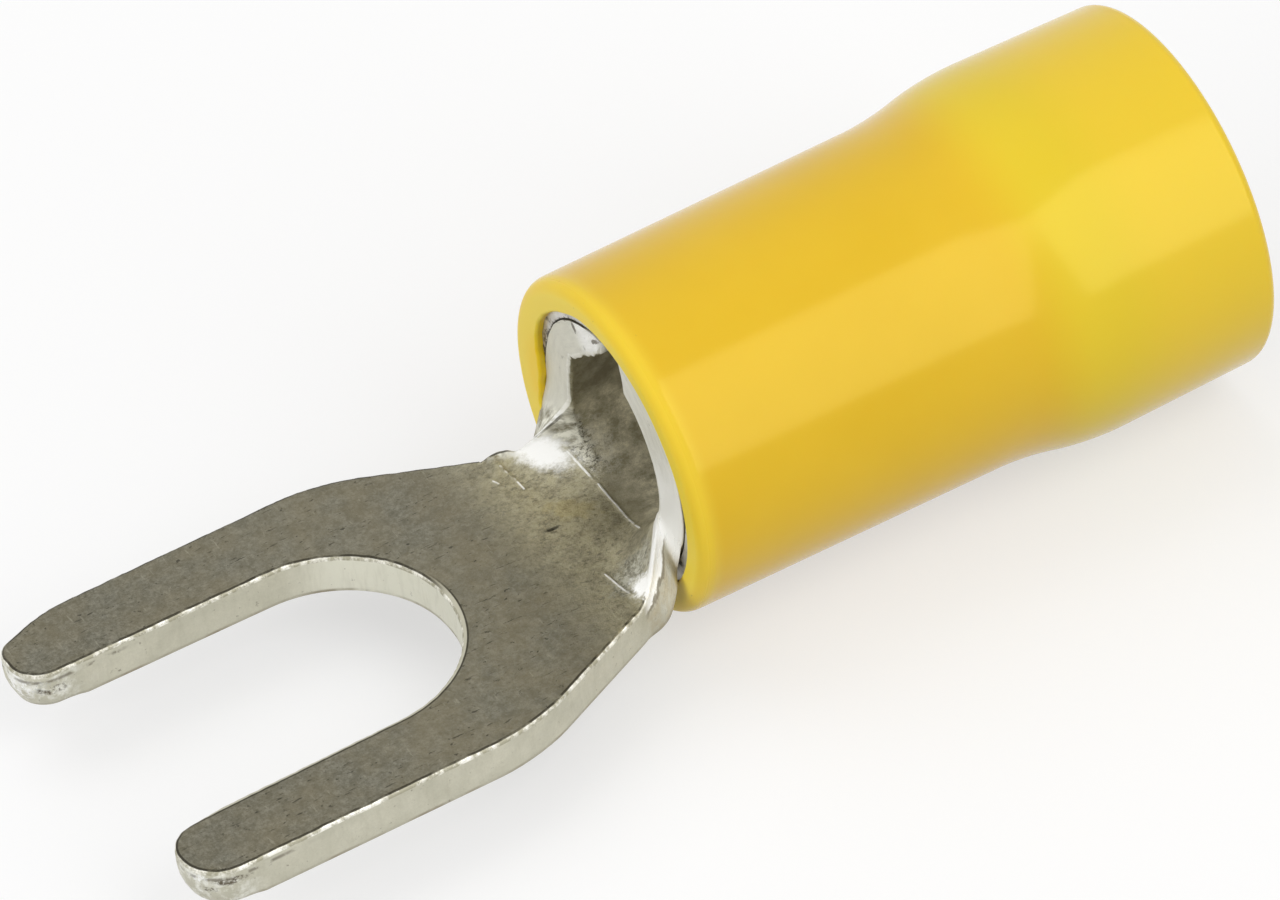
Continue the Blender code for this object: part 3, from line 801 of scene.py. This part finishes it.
colour = blended(tree, under, colour, face)
tree.links.new(colour, shader.inputs["Base Color"])

cut_share = both(tree, bright_line, without(tree, under))
dull = strongest(tree, both(tree, cut_share, 0.5), both(tree, bore, 0.55), both(tree, polish_and_glint, 0.5),
                 both(tree, near_neck, 0.85), both(tree, wing, cut_share, 0.8))
tree.links.new(without(tree, dull), shader.inputs["Metallic"])
matt = combined(tree, "SUBTRACT", 0.50, both(tree, polish_and_glint, 0.15))
tree.links.new(combined(tree, "SUBTRACT", matt, both(tree, bright_line, rim_break, 0.15)),
               shader.inputs["Roughness"])
pits = add_node(tree, "ShaderNodeBump", [
    ("Height", combined(tree, "ADD", grain, mottle)), ("Strength", 0.3), ("Distance", 0.00001)])
tree.links.new(pits.outputs[0], shader.inputs["Normal"])

fork = put_in_place(blank, "rolled_fork")
fork.data.set_sharp_from_angle(angle=math.radians(50))
fork.data.materials.append(tin)
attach(fork, "root")
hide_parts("fork")


# The grip sleeve: a thin tube of tinned copper, drawn over the barrel and flared at the wire
# entry. Its front rim, which is pressed in with the barrel, shows in the mouth of the vinyl, and
# its flare shows inside the bell.
SLEEVE_GAP = 0.05
GRIP_WALL = 0.2
GRIP_FRONT = 6.92
GRIP_LIP = 0.04
GRIP_LIP_LENGTH = 0.5
GRIP_PRESS = (
    (-180, 0.04), (-170, 0.11), (-145, 0.11), (-135, 0.0), (-48, 0.0), (-15, 0.13), (22, 0.12),
    (34, 0.08), (45, 0.02), (56, 0.0), (170, 0.0), (180, 0.04),
)
INSULATION_REAR = 20.4
GRIP_REAR = INSULATION_REAR - 0.8
BELL_FRONT = 14.9
BELL_REAR = 16.4
BELL_STEP = 0.39
BELL_RADIUS = 5.5
GRIP_REAR_ROUNDING = 0.06
GRIP_FRONT_ROUNDING = 0.03
GRIP_INNER_ROUNDING = 0.05
GRIP_LIP_ROUNDING = 0.2
GRIP_RIM_DEPTH = 0.08
DRAWN_DARK = (0.58, 0.56, 0.52)
DRAWN_LIGHT = (0.76, 0.75, 0.72)
TUBE_DULL = (0.36, 0.34, 0.30)
TUBE_STAIN = (0.10, 0.09, 0.07)
TUBE_GAP_SHADE = (0.06, 0.052, 0.038)

grip_bore = pressed_radius + SLEEVE_GAP
grip_outside = grip_bore + GRIP_WALL


def turned(corners, name, arc_step, turn_steps, rim_depth, rim_radius, rim_press):
    """Turn a closed (along, radius, rounding) section about the barrel's axis.

    The front rim inside rim_radius is then pressed inwards by (degrees, distance) knots.
    Degrees run from the far side over the top.
    """
    bm = flat_outline(corners, arc_step)
    bmesh.ops.translate(bm, verts=bm.verts, vec=(0, 0, barrel_radius))
    bmesh.ops.delete(bm, geom=bm.faces[:], context="FACES_ONLY")
    section = bm.edges[:] + bm.verts[:]
    bmesh.ops.spin(bm, geom=section, cent=(0, 0, barrel_radius), axis=(1, 0, 0),
                   angle=2 * math.pi, steps=turn_steps, use_merge=True)
    bmesh.ops.remove_doubles(bm, verts=bm.verts, dist=0.0001)
    bmesh.ops.recalc_face_normals(bm, faces=bm.faces)
    press_layer = bm.verts.layers.float.new("pressed_in")
    for vert in bm.verts:
        from_axis = Vector((0.0, vert.co.y, vert.co.z - barrel_radius))
        if vert.co.x < rim_depth and from_axis.length < rim_radius:
            vert[press_layer] = eased(rim_press, round_angle(from_axis.y, from_axis.z))
            vert.co -= from_axis.normalized() * vert[press_layer]
    return put_in_place(bm, name)


def barrel_place(tree):
    """Object place, distance along the barrel and radius about its axis in millimetres."""
    place = add_node(tree, "ShaderNodeTexCoord").outputs["Object"]
    axes = add_node(tree, "ShaderNodeSeparateXYZ", [(0, place)])
    along = combined(tree, "SUBTRACT", combined(tree, "MULTIPLY", axes.outputs[0], 1000.0),
                     stud_centre.x)
    above = combined(tree, "SUBTRACT", axes.outputs[2], (barrel_radius + stud_centre.z) / 1000)
    aside = add_node(tree, "ShaderNodeCombineXYZ", [(1, axes.outputs[1]), (2, above)])
    reach = add_node(tree, "ShaderNodeVectorMath", [(0, aside.outputs[0])], operation="LENGTH")
    return place, along, combined(tree, "MULTIPLY", reach.outputs["Value"], 1000.0)


grip = turned([
    (GRIP_REAR, grip_outside + BELL_STEP, GRIP_REAR_ROUNDING),
    (BELL_REAR, grip_outside + BELL_STEP, BELL_RADIUS),
    (BELL_FRONT, grip_outside, BELL_RADIUS),
    (GRIP_FRONT, grip_outside, GRIP_FRONT_ROUNDING),
    (GRIP_FRONT, grip_bore - GRIP_LIP, GRIP_INNER_ROUNDING),
    (GRIP_FRONT + GRIP_LIP_LENGTH, grip_bore, GRIP_LIP_ROUNDING),
    (BELL_FRONT, grip_bore, BELL_RADIUS),
    (BELL_REAR, grip_bore + BELL_STEP, BELL_RADIUS),
    (GRIP_REAR, grip_bore + BELL_STEP, GRIP_REAR_ROUNDING),
], "grip_tube", math.radians(12), 128, GRIP_FRONT + GRIP_RIM_DEPTH, grip_bore + 0.05, GRIP_PRESS)

sleeve_tin, tree, shader = new_surface("drawn_tin")
place, along, radius = barrel_place(tree)
drawn_lines = spots(tree, place, 1.0, 0.3, 0.7, 3.0, 0.6, (300, 4000, 4000))
dull_patches = spots(tree, place, 1500.0, 0.35, 0.65, 3.0, 0.6)
colour = blended(tree, drawn_lines, DRAWN_DARK, DRAWN_LIGHT)
colour = blended(tree, both(tree, dull_patches, 0.5), colour, TUBE_DULL)
near_front = ramp(tree, along, GRIP_FRONT + 0.8, GRIP_FRONT + 0.3)
stains = spots(tree, place, 2600.0, 0.56, 0.64, 4.0, 0.7)
colour = blended(tree, both(tree, stains, near_front, 0.7), colour, TUBE_STAIN)
pressed_in = layer(tree, "pressed_in")
# The grip's front rim is painted dark along its inner edge, next to the barrel: painted shade in
# the gap.
edge_break = both(tree, spots(tree, place, 3200.0, 0.38, 0.60, 4.0, 0.7), 0.16)
ragged = combined(tree, "ADD", combined(tree, "ADD", radius, pressed_in), edge_break)
inner_edge = ramp(tree, ragged, grip_bore + 0.11, grip_bore + 0.05)
colour = blended(tree, both(tree, inner_edge, near_front, 0.85), colour, TUBE_GAP_SHADE)
tree.links.new(colour, shader.inputs["Base Color"])
shader.inputs["Roughness"].default_value = 0.38
shader.inputs["Metallic"].default_value = 0.6
grip.data.materials.append(sleeve_tin)
grip.data.set_sharp_from_angle(angle=math.radians(40))
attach(grip, "root")
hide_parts("grip_sleeve")


# The insulating sleeve: soft yellow vinyl, moulded with a straight body over the barrel and a
# wider bell where the wire's own insulation goes in. It is pushed on over the grip sleeve, which
# has left its front rim pressed in on the far side and a little open on top.
INSULATION_FRONT = 6.74
FRONT_ROUNDING = 0.34
FRONT_LIP = 0.09
FRONT_LIP_DEPTH = 0.172
FRONT_PRESS = (
    (-180, -0.06), (-140, -0.06), (-90, 0.0), (-30, 0.0), (-15, 0.12), (-6, 0.27), (3, 0.36),
    (11, 0.32), (18, 0.21), (26, 0.11), (36, 0.03), (46, 0.0), (62, -0.03), (82, -0.12),
    (120, -0.13), (150, -0.09), (180, -0.06),
)
INSULATION_WALL = 0.64
BODY_DRAFT = 0.06
BELL_DRAFT = 0.08
REAR_ROUNDING = 0.22
REAR_INNER_ROUNDING = 0.08
FRONT_INNER_ROUNDING = 0.07
FRONT_LIP_SLOPE = 0.04
BODY_YELLOW = (0.750, 0.470, 0.020)
BODY_LIGHT = (0.790, 0.502, 0.026)
BELL_LEMON = (0.780, 0.570, 0.030)
BELL_YELLOW = (0.825, 0.572, 0.036)
RIM_GLOW_YELLOW = (0.88, 0.665, 0.055)
FRONT_YELLOW = (0.88, 0.665, 0.058)
INNER_LIT_YELLOW = (0.90, 0.61, 0.025)
DIRT_BROWN = (0.30, 0.21, 0.05)

insulation_bore = grip_outside + SLEEVE_GAP
body_radius = insulation_bore + INSULATION_WALL
bell_bore = insulation_bore + BELL_STEP
bell_radius = bell_bore + INSULATION_WALL
front_lip_end = INSULATION_FRONT + FRONT_LIP_DEPTH

sleeve = turned([
    (INSULATION_REAR, bell_radius - BELL_DRAFT, REAR_ROUNDING),
    (BELL_REAR, bell_radius, BELL_RADIUS),
    (BELL_FRONT, body_radius + BODY_DRAFT, BELL_RADIUS),
    (INSULATION_FRONT, body_radius, FRONT_ROUNDING),
    (INSULATION_FRONT, insulation_bore - FRONT_LIP, FRONT_INNER_ROUNDING),
    (front_lip_end, insulation_bore - FRONT_LIP, 0.0),
    (front_lip_end + FRONT_LIP_SLOPE, insulation_bore - 0.01, 0.0),
    (BELL_FRONT, insulation_bore, BELL_RADIUS),
    (BELL_REAR, bell_bore, BELL_RADIUS),
    (INSULATION_REAR, bell_bore, REAR_INNER_ROUNDING),
], "vinyl_sleeve", math.radians(3), 192, front_lip_end + 0.005, insulation_bore + 0.16, FRONT_PRESS)

vinyl, tree, shader = new_surface("yellow_vinyl_skin")
place, along, radius = barrel_place(tree)
lemon = ramp(tree, along, 14.7, 16.2)
tone = spots(tree, place, 260.0, 0.3, 0.7, 3.0, 0.5)
colour = blended(tree, tone, BODY_YELLOW, BODY_LIGHT)
colour = blended(tree, lemon, colour, BELL_LEMON)
colour = blended(tree, ramp(tree, along, 16.6, 18.4), colour, BELL_YELLOW)
# A lighter yellow along the front rim: a painted glow, for light through the vinyl's thin edge.
rim_glow = ramp(tree, along, 7.30, 6.88)
colour = blended(tree, both(tree, rim_glow, 0.55), colour, RIM_GLOW_YELLOW)
front_face = both(tree, ramp(tree, along, 6.98, 6.80),
                  ramp(tree, radius, body_radius - 0.16, body_radius - 0.34))
colour = blended(tree, front_face, colour, FRONT_YELLOW)
# The mouth's inner wall and the pressed-in rim are painted a lighter, deeper yellow: painted light
# that makes up for the shade in the mouth.
inner = both(tree, ramp(tree, radius, insulation_bore + 0.12, insulation_bore + 0.04),
             band(tree, along, (INSULATION_FRONT + 0.02, INSULATION_FRONT + 0.10), (8.0, 7.6)))
pressed_in = layer(tree, "pressed_in")
inner = strongest(tree, inner, ramp(tree, pressed_in, 0.02, 0.26))
colour = blended(tree, inner, colour, INNER_LIT_YELLOW)
dirt = spots(tree, place, 6500.0, 0.73, 0.77, 2.0, 0.5)
near_mouth = both(tree, ramp(tree, along, 7.5, 7.0),
                  ramp(tree, radius, body_radius - 0.5, body_radius - 0.2))
colour = blended(tree, both(tree, dirt, near_mouth, 0.45), colour, DIRT_BROWN)
tree.links.new(colour, shader.inputs["Base Color"])
matt_front = ramp(tree, along, 6.80, 7.0, 0.42, 0.17)
tree.links.new(matt_front, shader.inputs["Roughness"])
shader.inputs["Specular IOR Level"].default_value = 0.45
shader.inputs["Specular Tint"].default_value = (1.0, 0.93, 0.35, 1.0)
shader.inputs["Subsurface Weight"].default_value = 0.15
shader.inputs["Subsurface Radius"].default_value = (1.0, 0.6, 0.1)
shader.inputs["Subsurface Scale"].default_value = 0.0005
ripple = spots(tree, place, 500.0, 0.0, 1.0, 3.0, 0.5)
skin = add_node(tree, "ShaderNodeBump", [
    ("Height", ripple), ("Strength", 0.07), ("Distance", 0.00005)])
tree.links.new(skin.outputs[0], shader.inputs["Normal"])
sleeve.data.materials.append(vinyl)
sleeve.data.set_sharp_from_angle(angle=math.radians(60))
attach(sleeve, "root")
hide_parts("insulating_sleeve")


# The floor: a plain white sheet just under the bell, which takes the soft shadow. What the
# camera sees of it glows a little, so that it is as white as the room.
FLOOR_HALF = 3.0
FLOOR_DROP = 0.00002
FLOOR_GREY = 0.44
FLOOR_GLOW = 0.54


def seen_directly(tree):
    """1 for what the camera or a reflection shows, and 0 for light on its way."""
    rays = add_node(tree, "ShaderNodeLightPath").outputs
    return strongest(tree, rays["Is Camera Ray"], rays["Is Glossy Ray"],
                     rays["Is Transmission Ray"])


floor_mesh = bmesh.new()
bmesh.ops.create_grid(floor_mesh, x_segments=2, y_segments=2, size=FLOOR_HALF)
bmesh.ops.translate(floor_mesh, verts=floor_mesh.verts, vec=(0, 0, -FLOOR_DROP))
floor_data = bpy.data.meshes.new("white_floor")
floor_mesh.to_mesh(floor_data)
floor_mesh.free()
floor = bpy.data.objects.new("white_floor", floor_data)
bpy.context.scene.collection.objects.link(floor)
paper = bpy.data.materials.new("white_paper")
paper.use_nodes = True
tree = paper.node_tree
tree.nodes.clear()
spread_light = add_node(tree, "ShaderNodeBsdfDiffuse", [
    ("Color", (FLOOR_GREY, FLOOR_GREY, FLOOR_GREY, 1.0))])
glow = add_node(tree, "ShaderNodeEmission", [
    ("Color", (1, 1, 1, 1)), ("Strength", both(tree, seen_directly(tree), FLOOR_GLOW))])
sheet = add_node(tree, "ShaderNodeAddShader", [(0, spread_light.outputs[0]), (1, glow.outputs[0])])
add_node(tree, "ShaderNodeOutputMaterial", [("Surface", sheet.outputs[0])])
floor_data.materials.append(paper)


# The light: a bright room, and one large soft box to the right of the camera, whose shape
# shows as the long band on the vinyl. Two more boxes, which don't show in reflections, fill in.
# Each box is its name, direction, width, height, radiance, and whether reflections show it.
ROOM_LIGHT = 0.50
ROOM_WHITE = 1.0
BOX_DISTANCE = 1.0
SOFT_BOXES = (
    ("key_box", (0.33, -0.744, 0.581), 0.65, 1.1, 2.25, True),
    ("front_box", (-0.95, -0.20, 0.25), 0.9, 0.9, 2.1, False),
    ("top_box", (-0.15, 0.50, 0.85), 0.9, 0.9, 0.95, False),
)

world = bpy.data.worlds.new("bright_room")
bpy.context.scene.world = world
world.use_nodes = True
tree = world.node_tree
tree.nodes.clear()
level = add_node(tree, "ShaderNodeMapRange", [
    ("Value", seen_directly(tree)), ("To Min", ROOM_LIGHT), ("To Max", ROOM_WHITE)]).outputs[0]
room = add_node(tree, "ShaderNodeBackground", [("Color", (1, 1, 1, 1)), ("Strength", level)])
add_node(tree, "ShaderNodeOutputWorld", [("Surface", room.outputs[0])])

for name, direction, width, height, radiance, reflected in SOFT_BOXES:
    lamp = bpy.data.lights.new(name, "AREA")
    lamp.shape = "RECTANGLE"
    lamp.size = width
    lamp.size_y = height
    lamp.energy = radiance * math.pi * width * height
    holder = bpy.data.objects.new(name, lamp)
    towards = Vector(direction).normalized()
    holder.location = towards * BOX_DISTANCE
    holder.rotation_euler = towards.to_track_quat("Z", "Y").to_euler()
    holder.visible_glossy = reflected
    bpy.context.scene.collection.objects.link(holder)


# The camera: a long lens from the front, near side and above, fitted to the outlines.
CAMERA_PLACE = Vector((-0.097520, -0.195381, 0.198757))
CAMERA_RIGHT = Vector((0.852, -0.516, -0.0905))
CAMERA_UP = Vector((0.404, 0.537, 0.740))
LENS = 404.2
SENSOR_WIDTH = 36.0
camera_data = bpy.data.cameras.new("camera")
camera_data.sensor_width = SENSOR_WIDTH
camera_data.lens = LENS
camera_data.clip_start = 0.01
camera_data.clip_end = 20.0
camera = bpy.data.objects.new("camera", camera_data)
right = CAMERA_RIGHT.normalized()
up = (CAMERA_UP - right * CAMERA_UP.dot(right)).normalized()
facing = Matrix((right, up, right.cross(up))).transposed()
camera.matrix_world = Matrix.Translation(CAMERA_PLACE) @ facing.to_4x4()
bpy.context.scene.collection.objects.link(camera)
bpy.context.scene.camera = camera
bpy.context.scene.view_settings.view_transform = "Standard"
